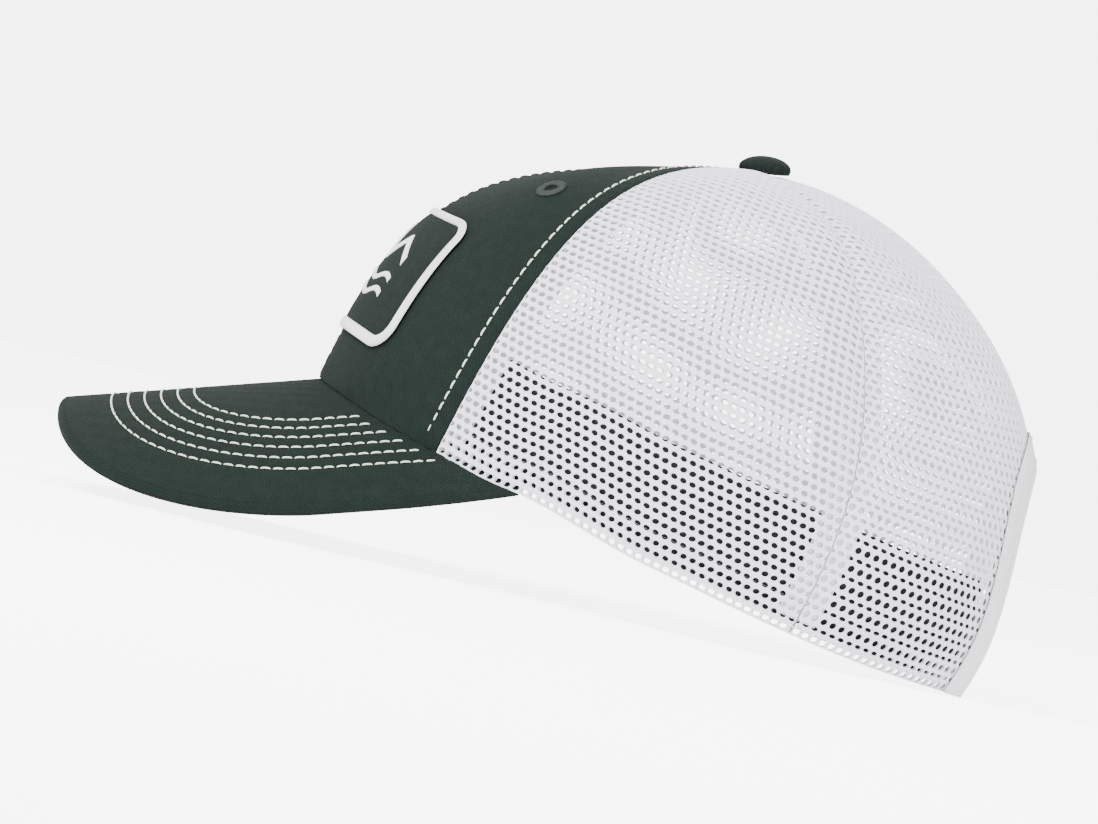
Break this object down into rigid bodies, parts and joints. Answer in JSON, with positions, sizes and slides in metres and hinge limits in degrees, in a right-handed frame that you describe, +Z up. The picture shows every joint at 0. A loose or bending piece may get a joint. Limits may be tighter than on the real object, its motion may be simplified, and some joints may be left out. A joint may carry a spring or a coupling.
{
  "type": "trucker mesh cap",
  "caption": "Trucker cap with a structured twill front, curved bill, mesh sides and back, and a snap strap closure across the rear opening.",
  "frame": {"origin": "middle of the cap's box, on the surface that it rests on", "axes": "+Z up, bill towards -Y, wearer's left towards +X"},
  "size_m": [0.1686, 0.2774, 0.1382],
  "materials": {
    "twill": "cotton twill, fine diagonal wale",
    "mesh": "open polyester mesh",
    "buckram": "stiffened open weave",
    "tape": "woven tape",
    "satin_white": "satin stitch thread",
    "satin_green": "satin stitch thread",
    "band": "plain woven cotton",
    "lining": "brushed terry",
    "board": "moulded sheet",
    "snap": "soft moulded plastic",
    "tin": "tinned pressing",
    "label": "woven satin tape"
  },
  "bodies": {
    "crown": {"front_panel_left": "twill", "front_panel_right": "twill", "front_backing_left": "buckram", "front_backing_right": "buckram", "side_mesh_left": "mesh", "side_mesh_right": "mesh", "rear_mesh_left": "mesh", "rear_mesh_right": "mesh", "tape_front_center": "tape", "tape_front_left": "tape", "tape_front_right": "tape", "tape_side_left": "tape", "tape_side_right": "tape", "tape_rear_center": "tape", "arch_binding": "mesh", "button_cover": "twill", "button_shell": "tin", "button_prong": "tin", "eyelet_left": "satin_green", "eyelet_right": "satin_green", "patch_base": "twill", "patch_border": "satin_white", "patch_motif": "satin_white", "bill_board": "board", "bill_top_cover": "twill", "bill_under_cover": "twill", "sweatband": "band", "sweatband_lining": "lining", "hole_strap_end": "snap", "stud_strap_end": "snap", "care_label": "label"},
    "hole_strap": {"hole_strap": "snap"},
    "stud_strap": {"stud_strap": "snap"}
  },
  "joints": [
    {"name": "hole_strap_bend", "type": "hinge", "parent": "crown", "child": "hole_strap", "pos_m": [0.0414, 0.12977, 0.01565], "axis": [0, -0.1822, -0.9833], "range_deg": [0, 60]},
    {"name": "stud_strap_bend", "type": "hinge", "parent": "crown", "child": "stud_strap", "pos_m": [-0.0414, 0.128, 0.01597], "axis": [0, -0.1822, -0.9833], "range_deg": [0, 35]}
  ]
}
